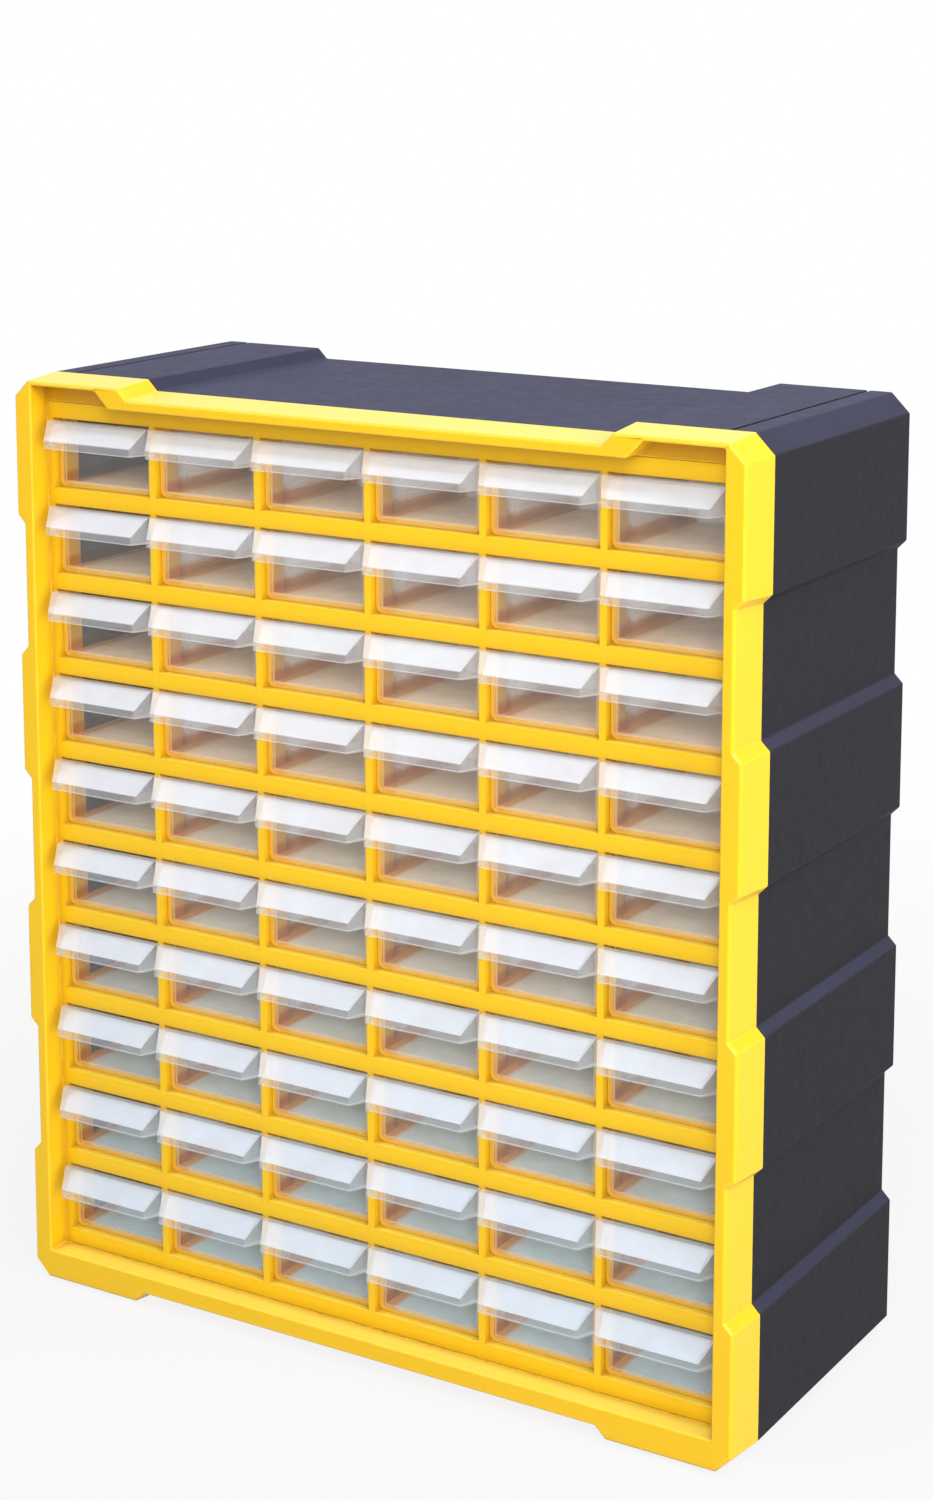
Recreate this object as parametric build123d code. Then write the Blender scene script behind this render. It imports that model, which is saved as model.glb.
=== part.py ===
from build123d import *
from math import cos, hypot, pi, sin
import os

# Parts cabinet with clear sliding drawers, in millimetres.
# The origin is on the floor under the middle of the cabinet, +Z is up and the front faces -Y.

# Overall size and drawer count
cabinet_width = 390.0
cabinet_depth = 165.0
cabinet_height = 455.0
columns = 6
rows = 10

# Stepped outline shared by the front frame and the housing
corner_chamfer = 9.0
side_segments = 7
side_step = 4.2
end_step = 5.2
pad_width = 65.0

# Front frame
frame_depth = 23.0
frame_taper = 2.0
side_rim = 5.6
head_rim = 5.0
sill_rim = 9.0
pocket_rim = 2.0
pocket_inset = 7.0
grid_recess = 12.0
window_ledge = 0.6
frame_edge_chamfer = 1.0
spigot_length = 6.0

# Housing
housing_wall = 2.5
back_wall = 2.5
groove_width = 2.0
groove_depth = 1.0
groove_from_side = 20.5
rail_height = 3.0
rail_bearing = 2.5
keyhole_entry_radius = 4.5
keyhole_neck_radius = 2.2
keyhole_rise = 9.0
keyhole_column_span = 3

# Grid of shelves and uprights
shelf_thickness = 2.0
lip_height = 8.0
lip_depth = 4.0
upright_thickness = 3.2
upright_depth = 18.0

# Drawer
drawer_wall = 1.5
drawer_floor = 1.5
divider_place = 66.0
divider_wall = 1.2
divider_drop = 2.0
panel_thickness = 2.0
panel_inset = 3.5
side_drop = 1.0
bottom_radius = 3.4
bottom_facets = 3
drawer_travel = 110.0
rear_room = 5.0
hood_land = 3.0
hood_slope_reach = 8.0
hood_drop = 8.5
hood_lip = 4.0
hood_taper = 4.0
hood_wall = 1.6
hood_gap = 1.0
ear_length = 4.0
ear_catch = 1.0

# Clearances
seam = 0.3
spigot_clearance = 0.3
slip = 0.1
window_clearance = 0.2
shelf_end_clearance = 0.5
rail_end_clearance = 0.5
drawer_side_clearance = 0.5
drawer_floor_clearance = 0.35
drawer_top_clearance = 0.8
stop_gap = 0.3

# Planes across the depth
front_y = -cabinet_depth / 2
back_y = cabinet_depth / 2
joint_y = front_y + frame_depth
grid_y = front_y + grid_recess
back_inner_y = back_y - back_wall
spigot_end_y = joint_y + spigot_length
upright_rear_y = grid_y + upright_depth
rail_y = max(spigot_end_y, upright_rear_y) + rail_end_clearance

# Opening in the front frame
half_width = cabinet_width / 2
opening_half = half_width - side_step - frame_taper - side_rim
opening_low = end_step + frame_taper + sill_rim
opening_high = cabinet_height - end_step - frame_taper - head_rim
pocket_high = cabinet_height - frame_taper - pocket_rim

# Grid pitch, and the window that the grid stands in
window_half = opening_half - window_ledge
grid_half = window_half - window_clearance
column_pitch = (2 * grid_half - upright_thickness) / columns
grid_bottom = opening_low + window_ledge
grid_top = opening_high - window_ledge
row_pitch = (grid_top - grid_bottom - lip_height) / rows
upright_places = [(i - columns / 2) * column_pitch for i in range(columns + 1)]
shelf_tops = [grid_bottom + lip_height + i * row_pitch for i in range(rows + 1)]
half_lap = upright_depth / 2

# Drawer size from its cell
drawer_width = column_pitch - upright_thickness - 2 * drawer_side_clearance
lip_underside = row_pitch - lip_height - drawer_floor_clearance
drawer_height = lip_underside - drawer_top_clearance
side_height = drawer_height - side_drop
panel_y = grid_y + panel_inset
tray_front_y = panel_y + panel_thickness
drawer_rear_y = back_inner_y - rear_room
divider_front_y = tray_front_y + divider_place
divider_rear_y = divider_front_y + divider_wall
divider_top = side_height - divider_drop
ear_y = grid_y + lip_depth + drawer_travel + stop_gap

# Hood handle, which stands in front of the uprights and stops the drawer against them
hood_half = (column_pitch - hood_gap) / 2
hood_low = drawer_height - hood_drop - hood_lip
hood_back_y = grid_y - stop_gap
hood_land_y = hood_back_y - hood_land
hood_tip_y = hood_land_y - hood_slope_reach


def slab(sketch, near_y, far_y):
    """A sketch drawn as seen from the front (X right, Z up), extruded from near_y to far_y."""
    far_plane = Plane(origin=(0, far_y, 0), x_dir=(1, 0, 0), z_dir=(0, -1, 0))
    return extrude(far_plane * sketch, amount=far_y - near_y)


def rectangle(x0, z0, x1, z1):
    """A rectangle between two corners, drawn as seen from the front."""
    return Pos((x0 + x1) / 2, (z0 + z1) / 2) * Rectangle(abs(x1 - x0), abs(z1 - z0))


def block(x0, y0, z0, x1, y1, z1):
    """A box between two corners."""
    return slab(rectangle(x0, z0, x1, z1), y0, y1)


def mirrored_face(right_half):
    """A closed face from the points of its right half, listed from the bottom up."""
    left_half = [(-x, z) for x, z in reversed(right_half)]
    return make_face(Polyline(right_half + left_half, close=True))


def cabinet_outline():
    """Outline with chamfered corners, raised pads and feet, and stepped sides."""
    flat = cabinet_height - 2 * corner_chamfer - (side_segments - 1) * side_step
    flat = flat / side_segments
    pad_end = half_width - pad_width
    points = [(pad_end - end_step, end_step), (pad_end, 0), (half_width - corner_chamfer, 0)]
    for segment in range(side_segments):
        x = half_width - side_step * (segment % 2)
        z = corner_chamfer + segment * (flat + side_step)
        points += [(x, z), (x, z + flat)]
    points += [(half_width - corner_chamfer, cabinet_height), (pad_end, cabinet_height)]
    points += [(pad_end - end_step, cabinet_height - end_step)]
    return mirrored_face(points)


def inset_outline(distance):
    """The cabinet outline moved inward by a distance."""
    return offset(cabinet_outline(), amount=-distance, kind=Kind.INTERSECTION)


def opening_outline():
    """Opening in the bezel, raised into a pocket under each top pad."""
    pocket_end = half_width - pad_width + pocket_inset
    pocket_rise = pocket_high - opening_high
    points = [(opening_half, opening_low), (opening_half, pocket_high)]
    points += [(pocket_end + pocket_rise, pocket_high), (pocket_end, opening_high)]
    return mirrored_face(points)


def front_frame():
    """Tapered bezel with its opening, the window for the grid, and a spigot into the housing."""
    bezel = loft([slab_face(frame_taper, front_y), slab_face(0, joint_y)], ruled=True)
    rim = bezel.faces().sort_by(Axis.Y)[0].outer_wire().edges()
    bezel = chamfer(rim, length=frame_edge_chamfer)
    spigot = slab(inset_outline(housing_wall + spigot_clearance), joint_y, spigot_end_y)
    opening = slab(opening_outline(), front_y, grid_y)
    window = block(
        -window_half,
        grid_y,
        grid_bottom - window_clearance,
        window_half,
        spigot_end_y,
        grid_top + window_clearance,
    )
    return bezel + spigot - opening - window


def slab_face(inset, y):
    """The inset outline as a face standing at a depth."""
    return Plane(origin=(0, y, 0), x_dir=(1, 0, 0), z_dir=(0, -1, 0)) * inset_outline(inset)


def keyhole_outline(x, z):
    """Round entry with a narrow neck above it."""
    entry = Pos(x, z) * Circle(keyhole_entry_radius)
    neck_end = Pos(x, z + keyhole_rise) * Circle(keyhole_neck_radius)
    neck = rectangle(x - keyhole_neck_radius, z, x + keyhole_neck_radius, z + keyhole_rise)
    return entry + neck_end + neck


def rail_outline():
    """Ends of the rails that carry the shelves along both side walls."""
    rail_inner = grid_half - rail_bearing
    rails = Sketch()
    for top in shelf_tops:
        rail_top = top - shelf_thickness - slip
        for side in (-1, 1):
            rails += rectangle(side * rail_inner, rail_top - rail_height, side * half_width, rail_top)
    return rails & inset_outline(housing_wall / 2)


def housing():
    """Stepped shell with a closed back, shelf rails, pad grooves and two keyholes."""
    shell = slab(cabinet_outline(), joint_y + seam, back_y)
    shell -= slab(inset_outline(housing_wall), joint_y + seam, back_inner_y)
    shell += slab(rail_outline(), rail_y, back_inner_y)
    keyhole_z = shelf_tops[-2] + row_pitch / 2
    for side in (-1, 1):
        groove_x = side * (half_width - groove_from_side)
        shell -= block(
            groove_x - groove_width / 2,
            joint_y,
            cabinet_height - groove_depth,
            groove_x + groove_width / 2,
            back_y,
            cabinet_height,
        )
        keyhole_x = side * keyhole_column_span * column_pitch / 2
        shell -= slab(keyhole_outline(keyhole_x, keyhole_z), back_inner_y, back_y)
    return shell


def shelf(top):
    """Shelf plate with a deeper lip at the front, slotted for the uprights."""
    rear_y = back_inner_y - shelf_end_clearance
    plate = block(-grid_half, grid_y, top - shelf_thickness, grid_half, rear_y, top)
    plate += block(-grid_half, grid_y, top - lip_height, grid_half, grid_y + lip_depth, top)
    slot_half = upright_thickness / 2 + slip
    for x in upright_places:
        slot_end_y = grid_y + half_lap + slip
        plate -= block(x - slot_half, grid_y, top - lip_height, x + slot_half, slot_end_y, top)
    return plate


def upright(x):
    """Upright notched from behind, so that each shelf half-laps into it."""
    half = upright_thickness / 2
    plate = block(x - half, grid_y, grid_bottom, x + half, upright_rear_y, grid_top)
    for top in shelf_tops:
        notch_low = top - shelf_thickness - slip
        notch_y = grid_y + half_lap - slip
        plate -= block(x - half, notch_y, notch_low, x + half, upright_rear_y, top + slip)
    return plate


def hood_form(half, tip_half, low, top_line):
    """A flat-topped wedge under a line of (Y, Z) corners: its side profile crossed with its plan."""
    rear_y, bend_y, tip_y = [y for y, z in top_line]
    profile = Polyline((rear_y, low), *top_line, (tip_y, low), close=True)
    right_side = [(half, rear_y), (half, bend_y), (tip_half, tip_y)]
    side_view = extrude(Plane.YZ * make_face(profile), amount=half, both=True)
    return side_view & extrude(mirrored_face(right_side), amount=drawer_height)


def hood():
    """Hood handle with a neck back to the drawer's panel, hollow and open underneath."""
    slope = hood_drop / hood_slope_reach
    outer_top = [
        (hood_back_y, drawer_height),
        (hood_land_y, drawer_height),
        (hood_tip_y, drawer_height - hood_drop),
    ]
    outer = hood_form(hood_half, hood_half - hood_taper, hood_low, outer_top)
    neck = block(-drawer_width / 2, hood_back_y, hood_low, drawer_width / 2, panel_y, drawer_height)
    ceiling = drawer_height - hood_wall
    bend_y = hood_land_y + hood_wall * (hypot(1, slope) - 1) / slope
    lip_back_y = hood_tip_y + hood_wall
    inner_top = [
        (panel_y, ceiling),
        (bend_y, ceiling),
        (lip_back_y, ceiling - slope * (bend_y - lip_back_y)),
    ]
    inner_tip_half = hood_half - hood_taper - hood_wall
    return outer + neck - hood_form(drawer_width / 2 - hood_wall, inner_tip_half, 0, inner_top)


def tray_section(high):
    """Cross section of the drawer, rounded in facets along its two bottom edges."""
    centre_x = drawer_width / 2 - bottom_radius
    points = []
    for facet in range(bottom_facets + 1):
        angle = pi / 2 * facet / bottom_facets
        points += [(centre_x + bottom_radius * sin(angle), bottom_radius * (1 - cos(angle)))]
    return mirrored_face(points + [(drawer_width / 2, high)])


def drawer():
    """One clear drawer, standing on Z = 0 and centred on X = 0, at its closed depth."""
    half = drawer_width / 2
    inner_half = half - drawer_wall
    inner_rear_y = drawer_rear_y - drawer_wall
    body = slab(tray_section(side_height), panel_y, drawer_rear_y)
    body += slab(tray_section(drawer_height), panel_y, tray_front_y)
    body -= block(-inner_half, tray_front_y, drawer_floor, inner_half, inner_rear_y, side_height)
    body += block(-inner_half, divider_front_y, drawer_floor, inner_half, divider_rear_y, divider_top)
    body += hood()
    ear_top = lip_underside + ear_catch
    for side in (-1, 1):
        body += block(
            side * half,
            ear_y,
            side_height,
            side * inner_half,
            ear_y + ear_length,
            ear_top,
        )
    return body


def save(node, shape):
    """Write one node's solids to its own file."""
    shape.label = node
    export_step(shape, f"parts/{node}.step")


def main():
    os.makedirs("parts", exist_ok=True)
    save("housing", housing())
    save("front_frame", front_frame())
    shelves = [shelf(top) for top in shelf_tops]
    uprights = [upright(x) for x in upright_places]
    save("grid", Compound(children=shelves + uprights))

    # Row 1 is the top row and column 1 the left column, seen from the front.
    template = drawer()
    placed = {}
    for row in range(1, rows + 1):
        floor_z = shelf_tops[rows - row] + drawer_floor_clearance
        for column in range(1, columns + 1):
            middle_x = (upright_places[column - 1] + upright_places[column]) / 2
            placed[row, column] = Pos(middle_x, 0, floor_z) * template
    for row in range(1, rows):
        for column in range(1, columns + 1):
            save(f"drawer_r{row:02d}_c{column}", placed[row, column])

    # The bottom row is written two drawers to a node.
    for column in range(1, columns, 2):
        pair = Compound(children=[placed[rows, column], placed[rows, column + 1]])
        save(f"drawers_r{rows:02d}_c{column}_c{column + 1}", pair)


main()
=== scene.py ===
import math

import bpy
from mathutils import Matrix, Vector

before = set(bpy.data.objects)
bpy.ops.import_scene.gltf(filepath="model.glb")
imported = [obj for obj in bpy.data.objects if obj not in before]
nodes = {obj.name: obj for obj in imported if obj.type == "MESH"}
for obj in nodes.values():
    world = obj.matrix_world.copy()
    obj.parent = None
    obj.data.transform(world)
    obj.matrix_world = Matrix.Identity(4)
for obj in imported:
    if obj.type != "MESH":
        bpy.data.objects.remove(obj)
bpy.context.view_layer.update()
scene = bpy.context.scene

# Photograph's height in pixels and the camera that fits the cabinet's edges in it
photo_height = 1500
camera_place = (0.6984, -1.1271, 0.6349)
camera_yaw = 0.549
camera_pitch = -0.163
focal_pixels = 2877.0
axis_above_centre = 285.0
sensor_size = 36.0

# Drawer cells in metres, the same for every column and row
column_pitch = 0.0602667
row_pitch = 0.04174
columns = 6
lowest_floor = 0.02515
floor_slack = 0.002
drawer_half = 0.0280333
corner_radius = 0.0034
wall_top_low = 0.012
wall_top_high = 0.014

# Planes in the cabinet in metres
front_plane = -0.0825
grid_plane = -0.0705
panel_rear = -0.065
upright_rear = -0.0525
joint_plane = -0.0595
cabinet_top = 0.455
groove_place = 0.1745
opening_high = 0.4428
cool_below = 0.06
warm_above = 0.30

# Edge rounding in metres
housing_round = 0.0008
frame_round = 0.0009
grid_round = 0.0004
drawer_round = 0.0003
joint_swell = 0.0001
weld_distance = 0.00001
round_above = math.radians(28)
crease_above = math.radians(36)
bevel_above = math.radians(40)
flat_below = math.radians(0.5)
blunt_below = math.radians(70)
normal_weight = 80

# Slack in metres for finding the edges to round, and how much less some of them are rounded
plane_slack = 0.0003
chamfer_depth = 0.0014
level_slack = 0.0002
groove_slack = 0.0015
long_housing_edge = 0.004
long_grid_edge = 0.02
share_change = -0.6
seam_share = 0.4

# Base colours, linear
yellow = (0.86, 0.53, 0.010)
yellow_deep = (0.82, 0.45, 0.008)
# painted shade: the deep orange that corners and creases darken towards
yellow_crease_shade = (0.50, 0.25, 0.008)
# painted shade on the recessed pocket above the drawers
yellow_pocket_shade = (0.66, 0.33, 0.006)
yellow_worn = (0.96, 0.74, 0.12)
# painted light: the paler yellow of up-facing tops, lit from above
yellow_lit_top = (0.93, 0.72, 0.10)
charcoal = (0.0225, 0.0214, 0.0262)
# settled dust and a painted bluish sheen of the light on up-facing tops
charcoal_dust_and_sheen = (0.056, 0.056, 0.102)
charcoal_worn = (0.080, 0.078, 0.092)
clear_tint = (0.985, 0.99, 0.99)
open_tint = (0.950, 0.965, 0.975)
edge_tint = (0.58, 0.65, 0.70)
# painted refraction of the yellow grid and the dark gaps, seen through the lower corners
corner_refraction_tint = (0.90, 0.75, 0.48)
haze_white = (0.90, 0.92, 0.98)
# painted light in the haze: cool in the low drawers, warm and teal on the floors
haze_cool_light = (0.76, 0.85, 0.98)
haze_warm_light = (0.98, 0.84, 0.66)
haze_teal_light = (0.60, 0.80, 0.92)
# painted yellow light piped through a closed drawer's panel rim
rim_amber_light = (0.92, 0.54, 0.05)
# painted golden light in the lower corners
corner_amber_light = (0.90, 0.56, 0.22)
plain_white = (1.0, 1.0, 1.0)
cool_white = (0.90, 0.93, 1.0)
floor_pale = (0.54, 0.54, 0.54)
floor_white = (0.58, 0.58, 0.58)

# Yellow and charcoal finish, with painted shade in corners and pockets and painted light on up-facing tops
noise_low = 0.3
noise_high = 0.7
yellow_shine = 0.32
yellow_rough = (0.26, 0.40)
yellow_grain = 0.10
yellow_grain_height = 0.00006
deep_band = (0.35, 0.75)
most_deep = 0.3
# Painted shade in corners, creases and gaps between parts, from the ambient occlusion
crease_shade_reach = 0.006
crease_shade_band = (0.35, 0.95)
most_crease_shade = 0.8
pocket_start = 0.002
pocket_end = 0.0005
pocket_fade = 0.001
frame_wear = 0.7
grid_wear = 0.0
charcoal_shine = 0.03
charcoal_rough = (0.46, 0.60)
charcoal_grain = 0.15
charcoal_grain_height = 0.0001
dust_and_sheen_mottle = (0.8, 1.0)
housing_wear = 0.7
least_wear = 0.1
scuff_band = (0.38, 0.62)
frame_wear_radius = 0.0012
housing_wear_radius = 0.0014
edge_facing = (0.985, 0.90)

# How squarely a face has to look along an axis, from no share of a colour or haze to all of it
pocket_facing = (0.6, 0.9)
lit_top_facing = (0.75, 0.95)
dust_and_sheen_facing = (0.35, 0.95)
level_facing = (0.3, 0.95)
cross_facing = (0.5, 0.95)
roof_sheen_facing = (0.1, 0.65)
end_facing = (0.3, 0.9)

# Clear plastic: how much of each surface is hazy, and how far the marks on it reach in metres
floor_haze = 0.70
cross_wall_haze = 0.70
front_wall_haze = 0.03
rear_wall_haze = 0.48
outer_wall_share = 0.08
panel_haze = (0.012, 0.030)
hood_haze = 0.10
# extra white haze on up-facing hood faces, a painted reflection of the light above
hood_roof_sheen_haze = 0.30
hood_end_haze = 0.05
# the rim haze of a closed drawer carries its painted amber light
closed_rim_haze = 0.60
open_rim_haze = 0.05
open_tray_share = 0.15
corner_haze_share = 0.5
shadow_haze_share = 0.06
hood_tint_share = 0.4
glow_share = 0.2
tray_mottle = (0.85, 1.15)
hood_mottle = (0.95, 1.05)
streak_stretch = (420.0, 26.0, 420.0)
streak_band = (0.4, 0.75)
streak_change = (0.8, 1.2)
inside_fade = 0.003
outer_start = 0.012
outer_end = 0.006
hood_start = 0.0006
hood_end = 0.0004
panel_fade = 0.001
wall_start = 0.002
wall_end = 0.006
rim_start = 0.002
rim_end = 0.003
rim_outer = 0.0020
rim_inner = 0.0032
corner_outer = 0.0045
corner_inner = 0.0075
corner_low = 0.0050
least_mirror = 0.035
most_mirror = 0.6
grazing_power = 5.0
clear_rough = (0.04, 0.12)
flow_bump = 0.06
flow_height = 0.0004


def node(tree, kind, **values):
    made = tree.nodes.new(kind)
    for name, value in values.items():
        setattr(made, name, value)
    return made


def link(tree, source, target):
    tree.links.new(source, target)


def fresh_material(name):
    material = bpy.data.materials.new(name)
    material.use_nodes = True
    material.node_tree.nodes.clear()
    output = node(material.node_tree, "ShaderNodeOutputMaterial")
    return material, material.node_tree, output


def noise(tree, place, scale, detail, roughness=0.5):
    made = node(tree, "ShaderNodeTexNoise")
    made.inputs["Scale"].default_value = scale
    made.inputs["Detail"].default_value = detail
    made.inputs["Roughness"].default_value = roughness
    link(tree, place, made.inputs["Vector"])
    return made.outputs["Fac"]


def ranged(tree, value, low, high, to_low=0.0, to_high=1.0):
    made = node(tree, "ShaderNodeMapRange", clamp=True)
    made.inputs["From Min"].default_value = low
    made.inputs["From Max"].default_value = high
    made.inputs["To Min"].default_value = to_low
    made.inputs["To Max"].default_value = to_high
    link(tree, value, made.inputs["Value"])
    return made.outputs["Result"]


def varied(tree, value, low, high):
    """Spreads the usual values of a noise over a range."""
    return ranged(tree, value, noise_low, noise_high, low, high)


def between(tree, share, none, full):
    """Goes from one value to another as a share goes from 0 to 1."""
    return ranged(tree, share, 0.0, 1.0, none, full)


def math_of(tree, operation, *values):
    made = node(tree, "ShaderNodeMath", operation=operation)
    for socket, value in zip(made.inputs, values):
        if isinstance(value, (int, float)):
            socket.default_value = value
        else:
            link(tree, value, socket)
    return made.outputs["Value"]


def times(tree, first, *others):
    for other in others:
        first = math_of(tree, "MULTIPLY", first, other)
    return first


def largest(tree, first, *others):
    for other in others:
        first = math_of(tree, "MAXIMUM", first, other)
    return first


def mixed_colour(tree, share, first, second):
    made = node(tree, "ShaderNodeMix", data_type="RGBA")
    link(tree, share, made.inputs["Factor"])
    for socket, value in ((made.inputs[6], first), (made.inputs[7], second)):
        if isinstance(value, tuple):
            socket.default_value = (*value, 1.0)
        else:
            link(tree, value, socket)
    return made.outputs[2]


def mixed_shader(tree, share, first, second):
    made = node(tree, "ShaderNodeMixShader")
    if isinstance(share, float):
        made.inputs["Fac"].default_value = share
    else:
        link(tree, share, made.inputs["Fac"])
    link(tree, first.outputs[0], made.inputs[1])
    link(tree, second.outputs[0], made.inputs[2])
    return made


def axis_parts(tree, vector):
    made = node(tree, "ShaderNodeSeparateXYZ")
    link(tree, vector, made.inputs["Vector"])
    return made.outputs


def edge_share(tree, radius):
    """Share of a surface that lies on a sharp edge."""
    rounded = node(tree, "ShaderNodeBevel", samples=4)
    rounded.inputs["Radius"].default_value = radius
    geometry = node(tree, "ShaderNodeNewGeometry")
    facing = node(tree, "ShaderNodeVectorMath", operation="DOT_PRODUCT")
    link(tree, rounded.outputs["Normal"], facing.inputs[0])
    link(tree, geometry.outputs["True Normal"], facing.inputs[1])
    return ranged(tree, facing.outputs["Value"], *edge_facing)


def object_place(tree):
    return node(tree, "ShaderNodeTexCoord").outputs["Object"]


def bumped(tree, height, strength, distance):
    made = node(tree, "ShaderNodeBump")
    made.inputs["Strength"].default_value = strength
    made.inputs["Distance"].default_value = distance
    link(tree, height, made.inputs["Height"])
    return made.outputs["Normal"]


def facing_share(tree, axis, low, high):
    """Share of a surface that faces along an axis, either way for X and Y and only up for Z."""
    geometry = node(tree, "ShaderNodeNewGeometry")
    along = axis_parts(tree, geometry.outputs["Normal"])[axis]
    if axis != "Z":
        along = math_of(tree, "ABSOLUTE", along)
    return ranged(tree, along, low, high)


def stretched(tree, place, scale):
    mapping = node(tree, "ShaderNodeMapping")
    mapping.inputs["Scale"].default_value = scale
    link(tree, place, mapping.inputs["Vector"])
    return mapping.outputs["Vector"]


def worn(tree, colour, worn_colour, scuff, radius, most_wear):
    """Rubs a colour lighter in scuffs along the edges."""
    scuffed = ranged(tree, scuff, *scuff_band, least_wear, most_wear)
    return mixed_colour(tree, times(tree, edge_share(tree, radius), scuffed), colour, worn_colour)


def pocket_shade_share(tree, place):
    """Share of the recessed faces above the drawer opening, which look to the front; they are painted a
    darker orange as shade.
    """
    parts = axis_parts(tree, place)
    recessed = ranged(tree, parts["Y"], grid_plane - pocket_start, grid_plane - pocket_end)
    high = ranged(tree, parts["Z"], opening_high - pocket_fade, opening_high)
    return times(tree, recessed, high, facing_share(tree, "Y", *pocket_facing))


def yellow_plastic(name, most_wear):
    material, tree, output = fresh_material(name)
    place = object_place(tree)
    surface = node(tree, "ShaderNodeBsdfPrincipled")
    surface.inputs["Specular IOR Level"].default_value = yellow_shine
    cloud = noise(tree, place, scale=7.0, detail=3.0)
    scuff = noise(tree, place, scale=150.0, detail=5.0, roughness=0.7)
    grain = noise(tree, place, scale=1400.0, detail=2.0, roughness=0.6)
    # Painted shade: ambient occlusion darkens corners, creases and gaps towards a deep orange
    corner = node(tree, "ShaderNodeAmbientOcclusion", samples=6)
    corner.inputs["Distance"].default_value = crease_shade_reach
    crease_shade = ranged(tree, corner.outputs["AO"], *crease_shade_band, most_crease_shade, 0.0)
    colour = mixed_colour(tree, ranged(tree, cloud, *deep_band, 0.0, most_deep), yellow, yellow_deep)
    # Painted shade on the recessed pocket faces above the top drawers
    colour = mixed_colour(tree, pocket_shade_share(tree, place), colour, yellow_pocket_shade)
    # Painted light from above: up-facing yellow faces turn paler
    colour = mixed_colour(tree, facing_share(tree, "Z", *lit_top_facing), colour, yellow_lit_top)
    colour = mixed_colour(tree, crease_shade, colour, yellow_crease_shade)
    if most_wear:
        colour = worn(tree, colour, yellow_worn, scuff, frame_wear_radius, most_wear)
    link(tree, colour, surface.inputs["Base Color"])
    link(tree, varied(tree, scuff, *yellow_rough), surface.inputs["Roughness"])
    link(tree, bumped(tree, grain, yellow_grain, yellow_grain_height), surface.inputs["Normal"])
    link(tree, surface.outputs["BSDF"], output.inputs["Surface"])
    return material


def charcoal_plastic():
    material, tree, output = fresh_material("charcoal_plastic")
    place = object_place(tree)
    surface = node(tree, "ShaderNodeBsdfPrincipled")
    surface.inputs["Specular IOR Level"].default_value = charcoal_shine
    cloud = noise(tree, place, scale=14.0, detail=4.0)
    scuff = noise(tree, place, scale=170.0, detail=5.0, roughness=0.7)
    grain = noise(tree, place, scale=1500.0, detail=2.0, roughness=0.6)
    # Up-facing charcoal turns a lighter blue: partly settled dust, partly a painted sheen of the light from
    # above
    dust_and_sheen = times(tree, facing_share(tree, "Z", *dust_and_sheen_facing), varied(tree, cloud, *dust_and_sheen_mottle))
    colour = mixed_colour(tree, dust_and_sheen, charcoal, charcoal_dust_and_sheen)
    colour = worn(tree, colour, charcoal_worn, scuff, housing_wear_radius, housing_wear)
    link(tree, colour, surface.inputs["Base Color"])
    link(tree, varied(tree, scuff, *charcoal_rough), surface.inputs["Roughness"])
    link(tree, bumped(tree, grain, charcoal_grain, charcoal_grain_height), surface.inputs["Normal"])
    link(tree, surface.outputs["BSDF"], output.inputs["Surface"])
    return material


def cell_place(tree, parts):
    """Distance from a drawer's middle across, and height above that drawer's bottom."""
    column = math_of(tree, "MULTIPLY_ADD", parts["X"], 1 / column_pitch, columns / 2)
    column = math_of(tree, "FRACT", column)
    across = math_of(tree, "ABSOLUTE", math_of(tree, "SUBTRACT", column, 0.5))
    across = times(tree, across, column_pitch)
    row = math_of(tree, "SUBTRACT", parts["Z"], lowest_floor - floor_slack)
    row = math_of(tree, "FRACT", times(tree, row, 1 / row_pitch))
    height = math_of(tree, "MULTIPLY_ADD", row, row_pitch, -floor_slack)
    return across, height


def rim_depth(tree, across, height):
    """Distance inward from a drawer panel's sides and rounded bottom corners."""
    side = math_of(tree, "SUBTRACT", across, drawer_half - corner_radius)
    low = math_of(tree, "SUBTRACT", corner_radius, height)
    side_square = math_of(tree, "POWER", largest(tree, side, 0.0), 2.0)
    low_square = math_of(tree, "POWER", largest(tree, low, 0.0), 2.0)
    outside = math_of(tree, "SQRT", math_of(tree, "ADD", side_square, low_square))
    inside = math_of(tree, "MINIMUM", largest(tree, side, low), 0.0)
    return math_of(tree, "SUBTRACT", corner_radius, math_of(tree, "ADD", outside, inside))


def inside_share(tree):
    """Full where a drawer stands inside the yellow grid that colours it, none where it is pulled out."""
    position = node(tree, "ShaderNodeNewGeometry").outputs["Position"]
    return ranged(tree, axis_parts(tree, position)["Y"], grid_plane - inside_fade, grid_plane)


def outer_share(tree, sideways):
    """Low on the two outermost drawer walls, which have no neighbour to pass light on to them."""
    edge = column_pitch * columns / 2
    away = math_of(tree, "ABSOLUTE", sideways)
    return ranged(tree, away, edge - outer_start, edge - outer_end, 1.0, outer_wall_share)


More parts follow.
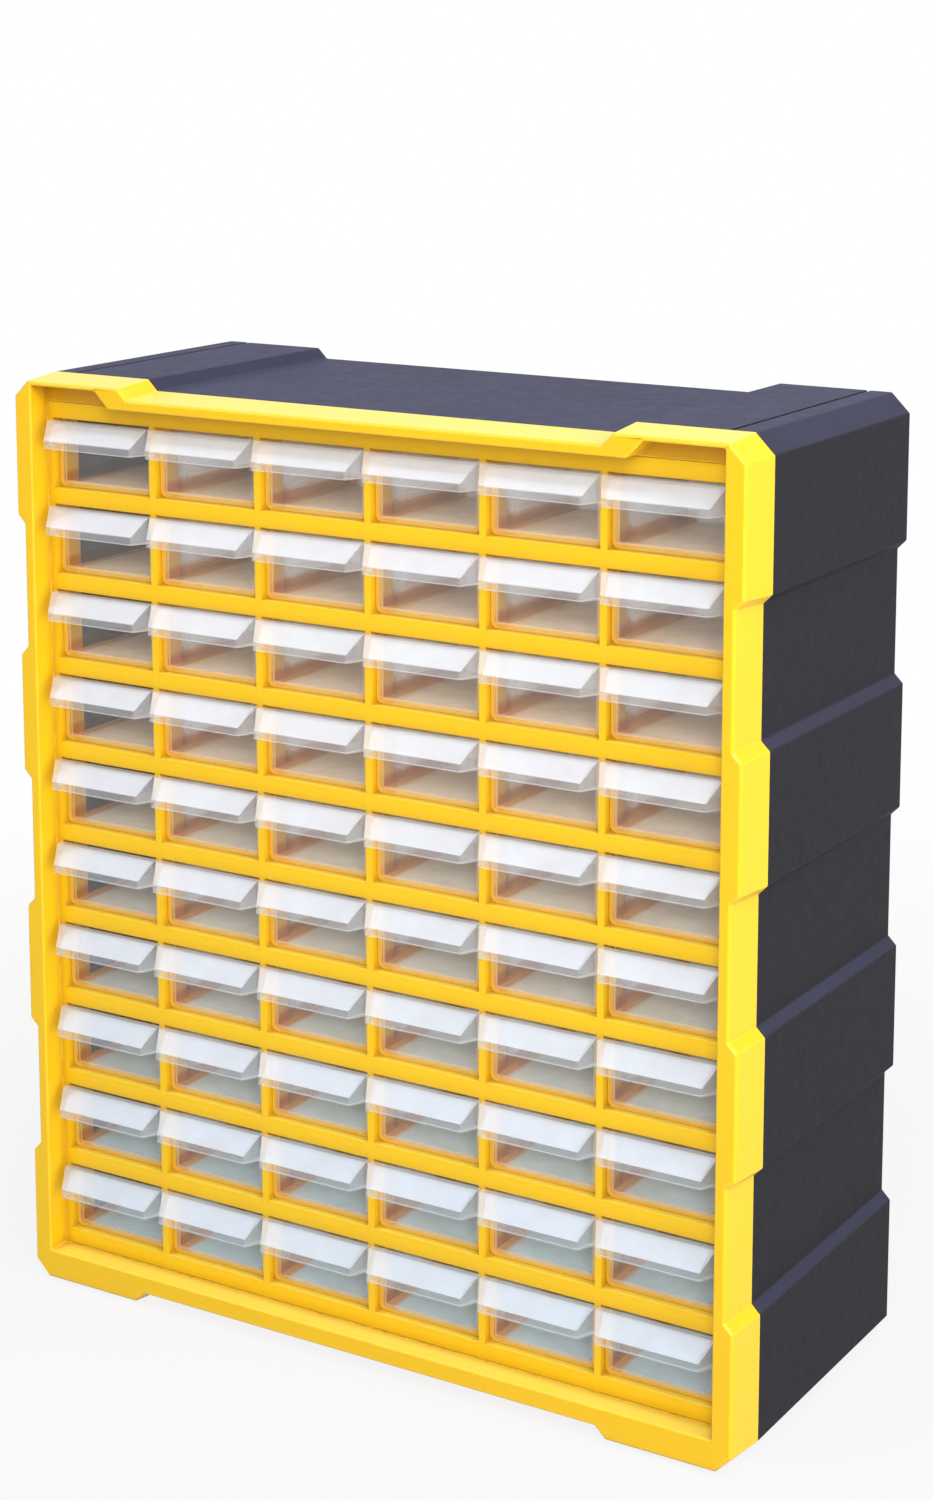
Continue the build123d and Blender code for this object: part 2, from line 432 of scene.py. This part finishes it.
def drawer_marks(tree, place):
    """Where on a drawer a point lies, each as a share from 0 to 1."""
    parts = axis_parts(tree, place)
    depth = parts["Y"]
    across, height = cell_place(tree, parts)
    marks = {}
    marks["upper"] = ranged(tree, parts["Z"], cool_below, warm_above)
    marks["inside"] = inside_share(tree)
    marks["level"] = facing_share(tree, "Z", *level_facing)
    marks["hood"] = ranged(tree, depth, grid_plane + hood_start, grid_plane - hood_end)
    marks["behind_panel"] = ranged(tree, depth, panel_rear, panel_rear + panel_fade)
    marks["wall_tops"] = times(tree, marks["level"], ranged(tree, height, wall_top_low, wall_top_high))
    marks["rim"] = times(
        tree,
        ranged(tree, rim_depth(tree, across, height), rim_inner, rim_outer),
        ranged(tree, depth, panel_rear + panel_fade, panel_rear),
        ranged(tree, depth, grid_plane + rim_start, grid_plane + rim_end),
    )
    marks["corner"] = times(
        tree,
        ranged(tree, across, drawer_half - corner_inner, drawer_half - corner_outer),
        ranged(tree, height, corner_inner, corner_low),
        marks["behind_panel"],
        marks["inside"],
    )
    return marks


def drawer_haze(tree, place, cloud, marks):
    """How hazy a drawer is: most on its floor and walls, some on its hood and rims, little on its panel."""
    parts = axis_parts(tree, place)
    streaked = stretched(tree, place, streak_stretch)
    streak = noise(tree, streaked, scale=1.0, detail=3.0, roughness=0.6)
    wall_reach = (upright_rear - wall_start, upright_rear + wall_end)
    wall = times(
        tree,
        ranged(tree, parts["Y"], *wall_reach, front_wall_haze, rear_wall_haze),
        ranged(tree, streak, *streak_band, *streak_change),
        outer_share(tree, parts["X"]),
    )
    floor = times(tree, marks["level"], floor_haze)
    cross = times(tree, facing_share(tree, "Y", *cross_facing), cross_wall_haze)
    tray = times(
        tree,
        largest(tree, wall, floor, cross),
        varied(tree, cloud, *tray_mottle),
        between(tree, marks["inside"], open_tray_share, 1.0),
        between(tree, marks["corner"], 1.0, corner_haze_share),
        marks["behind_panel"],
    )
    # Painted reflection: up-facing hood faces get extra white haze that stands for the light above
    # reflected in them
    roof_sheen = facing_share(tree, "Z", *roof_sheen_facing)
    ends = facing_share(tree, "X", *end_facing)
    hood = math_of(tree, "MULTIPLY_ADD", roof_sheen, hood_roof_sheen_haze, hood_haze)
    hood = math_of(tree, "MULTIPLY_ADD", ends, hood_end_haze, hood)
    hood = times(tree, hood, varied(tree, cloud, *hood_mottle), marks["hood"])
    # Rim haze is high only in a closed drawer, where it shows the painted amber light
    rim = times(tree, marks["rim"], between(tree, marks["inside"], open_rim_haze, closed_rim_haze))
    return largest(tree, tray, varied(tree, cloud, *panel_haze), hood, rim)


def haze_tone(tree, marks):
    """Colour of the haze: painted cool light in the low drawers, painted warm light on the upper floors and
    painted teal light on the lower ones, painted amber light at rims and lower corners.
    """
    # Painted cool light on the low drawers
    tone = mixed_colour(tree, marks["upper"], haze_cool_light, haze_white)
    # Painted light on the tray floors: warm in the upper rows, teal in the lower rows
    floor_light_tone = mixed_colour(tree, marks["upper"], haze_teal_light, haze_warm_light)
    tray_floor = times(tree, marks["level"], marks["behind_panel"], marks["inside"])
    tone = mixed_colour(tree, tray_floor, tone, floor_light_tone)
    # Painted golden light in the lower corners of the tray
    tone = mixed_colour(tree, marks["corner"], tone, corner_amber_light)
    # Painted light: the rims of closed drawers turn amber for the yellow grid's light piped through them
    return mixed_colour(tree, times(tree, marks["rim"], marks["inside"]), tone, rim_amber_light)


def through_tone(tree, marks):
    """Tint of what is seen through a drawer, with a painted amber refraction in its lower corners, grey
    along the edges of one that is pulled out.
    """
    # Painted light and shade: the lower corners tint what is seen through them amber, for the refracted
    # yellow grid and dark gaps
    closed = mixed_colour(tree, marks["corner"], clear_tint, corner_refraction_tint)
    edges = largest(tree, marks["wall_tops"], marks["rim"])
    pulled = mixed_colour(tree, edges, open_tint, edge_tint)
    out_share = math_of(tree, "SUBTRACT", 1.0, marks["inside"])
    out_share = times(tree, out_share, between(tree, marks["hood"], 1.0, hood_tint_share))
    return mixed_colour(tree, out_share, closed, pulled)


def clear_plastic():
    material, tree, output = fresh_material("clear_plastic")
    place = object_place(tree)
    marks = drawer_marks(tree, place)
    cloud = noise(tree, place, scale=60.0, detail=4.0, roughness=0.6)
    shadow = node(tree, "ShaderNodeLightPath").outputs["Is Shadow Ray"]
    haze = drawer_haze(tree, place, cloud, marks)
    haze = times(tree, haze, between(tree, shadow, 1.0, shadow_haze_share))
    tone = haze_tone(tree, marks)
    pale = node(tree, "ShaderNodeBsdfDiffuse")
    link(tree, tone, pale.inputs["Color"])
    glow = node(tree, "ShaderNodeBsdfTranslucent")
    link(tree, tone, glow.inputs["Color"])
    cloudy = mixed_shader(tree, glow_share, pale, glow)
    through = node(tree, "ShaderNodeBsdfTransparent")
    link(tree, through_tone(tree, marks), through.inputs["Color"])
    body = mixed_shader(tree, haze, through, cloudy)
    flow = noise(tree, place, scale=95.0, detail=2.0)
    normal = bumped(tree, flow, flow_bump, flow_height)
    facing = node(tree, "ShaderNodeLayerWeight")
    facing.inputs["Blend"].default_value = 0.5
    link(tree, normal, facing.inputs["Normal"])
    grazing = math_of(tree, "POWER", facing.outputs["Facing"], grazing_power)
    mirror = between(tree, grazing, least_mirror, most_mirror)
    mirror = times(tree, mirror, math_of(tree, "SUBTRACT", 1.0, shadow))
    gloss = node(tree, "ShaderNodeBsdfGlossy")
    gloss.inputs["Color"].default_value = (*plain_white, 1.0)
    link(tree, varied(tree, cloud, *clear_rough), gloss.inputs["Roughness"])
    link(tree, normal, gloss.inputs["Normal"])
    whole = mixed_shader(tree, mirror, body, gloss)
    link(tree, whole.outputs["Shader"], output.inputs["Surface"])
    return material


def geometry_group(name):
    group = bpy.data.node_groups.new(name, "GeometryNodeTree")
    group.interface.new_socket("Geometry", in_out="INPUT", socket_type="NodeSocketGeometry")
    group.interface.new_socket("Geometry", in_out="OUTPUT", socket_type="NodeSocketGeometry")
    start = group.nodes.new("NodeGroupInput").outputs[0]
    end = group.nodes.new("NodeGroupOutput").inputs[0]
    return group, start, end


def edge_angle(group):
    return group.nodes.new("GeometryNodeInputMeshEdgeAngle").outputs["Unsigned Angle"]


def smooth_shading():
    """Smooth faces that stay creased along the edges that are still sharp."""
    group, start, end = geometry_group("smooth_shading")
    faces = group.nodes.new("GeometryNodeSetShadeSmooth")
    edges = group.nodes.new("GeometryNodeSetShadeSmooth")
    edges.domain = "EDGE"
    edges.inputs["Shade Smooth"].default_value = False
    sharp = math_of(group, "GREATER_THAN", edge_angle(group), crease_above)
    link(group, start, faces.inputs["Geometry"])
    link(group, faces.outputs["Geometry"], edges.inputs["Geometry"])
    link(group, sharp, edges.inputs["Selection"])
    link(group, edges.outputs["Geometry"], end)
    return group


def edge_ends(group):
    """Coordinates of an edge's two ends, as two lists of X, Y and Z, and the edge's length."""
    ends = group.nodes.new("GeometryNodeInputMeshEdgeVertices")
    span = node(group, "ShaderNodeVectorMath", operation="DISTANCE")
    places = []
    for index, name in enumerate(("Position 1", "Position 2")):
        link(group, ends.outputs[name], span.inputs[index])
        places.append(list(axis_parts(group, ends.outputs[name])))
    return places[0], places[1], span.outputs["Value"]


def rounding_group(name, share_of):
    """Stores how much each sharp edge is rounded, from 0 to 1."""
    group, start, end = geometry_group(name)
    sharp = math_of(group, "GREATER_THAN", edge_angle(group), round_above)
    mark = group.nodes.new("GeometryNodeStoreNamedAttribute")
    mark.data_type = "FLOAT"
    mark.domain = "EDGE"
    mark.inputs["Name"].default_value = "bevel_weight_edge"
    link(group, start, mark.inputs["Geometry"])
    link(group, times(group, sharp, share_of(group)), mark.inputs["Value"])
    link(group, mark.outputs["Geometry"], end)
    return group


def frame_share(group):
    """Full rounding on the bezel, less along its chamfer and its rear seam, none on the grid's ledge."""
    first, second, _ = edge_ends(group)
    nearest = math_of(group, "MINIMUM", first[1], second[1])
    farthest = largest(group, first[1], second[1])
    ahead = math_of(group, "LESS_THAN", nearest, grid_plane - plane_slack)
    at_front = math_of(group, "LESS_THAN", farthest, front_plane + chamfer_depth)
    blunt = math_of(group, "LESS_THAN", edge_angle(group), blunt_below)
    chamfer = times(group, at_front, blunt)
    seam_near = math_of(group, "COMPARE", nearest, joint_plane, plane_slack)
    seam_far = math_of(group, "COMPARE", farthest, joint_plane, plane_slack)
    seam = times(group, seam_near, seam_far)
    share = times(group, ahead, math_of(group, "MULTIPLY_ADD", chamfer, share_change, 1.0))
    return math_of(group, "MULTIPLY_ADD", seam, seam_share, share)


def housing_share(group):
    """Full rounding on long edges, less along the grooves in the pads."""
    first, _, span = edge_ends(group)
    long_edge = math_of(group, "GREATER_THAN", span, long_housing_edge)
    high = math_of(group, "GREATER_THAN", first[2], cabinet_top - groove_slack)
    away = math_of(group, "ABSOLUTE", first[0])
    groove = times(group, high, math_of(group, "COMPARE", away, groove_place, groove_slack))
    return times(group, long_edge, math_of(group, "MULTIPLY_ADD", groove, share_change, 1.0))


def grid_share(group):
    """Rounding along the level front edges of the shelf lips."""
    first, second, span = edge_ends(group)
    farthest = largest(group, first[1], second[1])
    at_front = math_of(group, "LESS_THAN", farthest, grid_plane + plane_slack)
    level = math_of(group, "COMPARE", first[2], second[2], level_slack)
    long_edge = math_of(group, "GREATER_THAN", span, long_grid_edge)
    return times(group, at_front, level, long_edge)


def soften(piece, width, segments, share_of):
    weld = piece.modifiers.new("join_faces", "WELD")
    weld.merge_threshold = weld_distance
    bevel_limit = "ANGLE"
    if share_of:
        marked = piece.modifiers.new("rounding", "NODES")
        marked.node_group = rounding_group(piece.name + "_rounding", share_of)
        bevel_limit = "WEIGHT"
    else:
        flat = piece.modifiers.new("flat_faces", "DECIMATE")
        flat.decimate_type = "DISSOLVE"
        flat.angle_limit = flat_below
    bevel = piece.modifiers.new("round_edges", "BEVEL")
    bevel.width = width
    bevel.segments = segments
    bevel.limit_method = bevel_limit
    bevel.angle_limit = bevel_above
    bevel.use_clamp_overlap = share_of is None
    smooth = piece.modifiers.new("smooth", "NODES")
    smooth.node_group = smooth_group
    normals = piece.modifiers.new("face_normals", "WEIGHTED_NORMAL")
    normals.weight = normal_weight
    normals.keep_sharp = True


def close_joints(piece):
    """Swells the shelves and uprights until they touch where they cross."""
    swell = piece.modifiers.new("close_joints", "DISPLACE")
    swell.strength = joint_swell
    swell.mid_level = 0.0


def dress(piece, material, width, segments, share_of=None):
    piece.data.materials.clear()
    piece.data.materials.append(material)
    soften(piece, width, segments, share_of)


smooth_group = smooth_shading()
frame_plastic = yellow_plastic("frame_plastic", frame_wear)
grid_plastic = yellow_plastic("grid_plastic", grid_wear)
housing_plastic = charcoal_plastic()
drawer_plastic = clear_plastic()

for name, piece in nodes.items():
    if name == "housing":
        dress(piece, housing_plastic, housing_round, segments=3, share_of=housing_share)
    elif name == "front_frame":
        dress(piece, frame_plastic, frame_round, segments=3, share_of=frame_share)
    elif name == "grid":
        dress(piece, grid_plastic, grid_round, segments=2, share_of=grid_share)
        close_joints(piece)
    else:
        dress(piece, drawer_plastic, drawer_round, segments=2)


# Floor and light
floor_reach = 6.0
floor_drop = 0.0003
near_floor = 0.35
far_floor = 1.0
near_white = 0.86
sky_light = 0.10
middle = (0.0, 0.0, 0.23)


def seen_share(tree):
    """Full for what is seen directly, in a reflection or through clear plastic."""
    path = node(tree, "ShaderNodeLightPath").outputs
    return largest(tree, path["Is Camera Ray"], path["Is Glossy Ray"], path["Is Transmission Ray"])


def floor_material():
    material, tree, output = fresh_material("pale_floor")
    place = object_place(tree)
    matt = node(tree, "ShaderNodeBsdfDiffuse")
    cloud = noise(tree, place, scale=3.0, detail=2.0)
    link(tree, mixed_colour(tree, cloud, floor_pale, floor_white), matt.inputs["Color"])
    white = node(tree, "ShaderNodeEmission")
    white.inputs["Color"].default_value = (*plain_white, 1.0)
    distance = node(tree, "ShaderNodeVectorMath", operation="LENGTH")
    link(tree, place, distance.inputs[0])
    white_share = ranged(tree, distance.outputs["Value"], near_floor, far_floor, near_white, 1.0)
    both = mixed_shader(tree, times(tree, seen_share(tree), white_share), matt, white)
    link(tree, both.outputs["Shader"], output.inputs["Surface"])
    return material


def add_floor():
    mesh = bpy.data.meshes.new("floor")
    turns = ((-1, -1), (1, -1), (1, 1), (-1, 1))
    corners = [(floor_reach * across, floor_reach * along, 0.0) for across, along in turns]
    mesh.from_pydata(corners, [], [(0, 1, 2, 3)])
    floor = bpy.data.objects.new("floor", mesh)
    floor.location.z = -floor_drop
    mesh.materials.append(floor_material())
    scene.collection.objects.link(floor)


def add_lamp(name, place, width, height, power, colour=plain_white):
    lamp = bpy.data.lights.new(name, "AREA")
    lamp.color = colour
    lamp.shape = "RECTANGLE"
    lamp.size = width
    lamp.size_y = height
    lamp.energy = power
    holder = bpy.data.objects.new(name, lamp)
    holder.location = place
    aim = Vector(middle) - Vector(place)
    holder.rotation_euler = aim.to_track_quat("-Z", "Y").to_euler()
    scene.collection.objects.link(holder)


def add_world():
    world = bpy.data.worlds.new("studio")
    world.use_nodes = True
    tree = world.node_tree
    tree.nodes.clear()
    output = node(tree, "ShaderNodeOutputWorld")
    sky = node(tree, "ShaderNodeBackground")
    sky.inputs["Color"].default_value = (*plain_white, 1.0)
    link(tree, between(tree, seen_share(tree), sky_light, 1.0), sky.inputs["Strength"])
    link(tree, sky.outputs["Background"], output.inputs["Surface"])
    scene.world = world


def add_camera():
    camera = bpy.data.cameras.new("camera")
    camera.sensor_width = sensor_size
    camera.lens = focal_pixels * sensor_size / photo_height
    camera.shift_y = -axis_above_centre / photo_height
    holder = bpy.data.objects.new("camera", camera)
    holder.location = camera_place
    holder.rotation_euler = (math.pi / 2 + camera_pitch, 0.0, camera_yaw)
    scene.collection.objects.link(holder)
    scene.camera = holder


add_floor()
add_world()
add_lamp("side_lamp", (2.0, -0.3, 1.0), width=1.2, height=1.2, power=36.0)
add_lamp("front_lamp", (1.0, -1.5, 1.55), width=1.0, height=1.2, power=32.0)
add_lamp("fill_lamp", (0.8, -1.75, 0.6), width=1.0, height=0.8, power=8.0)
add_lamp("upper_lamp", (-1.05, -0.8, 1.75), width=1.4, height=1.1, power=13.0, colour=cool_white)
add_lamp("top_lamp", (0.2, 0.35, 2.0), width=1.0, height=1.0, power=9.0)
add_camera()
scene.view_settings.view_transform = "Standard"
scene.cycles.transparent_max_bounces = 40
scene.cycles.max_bounces = 12
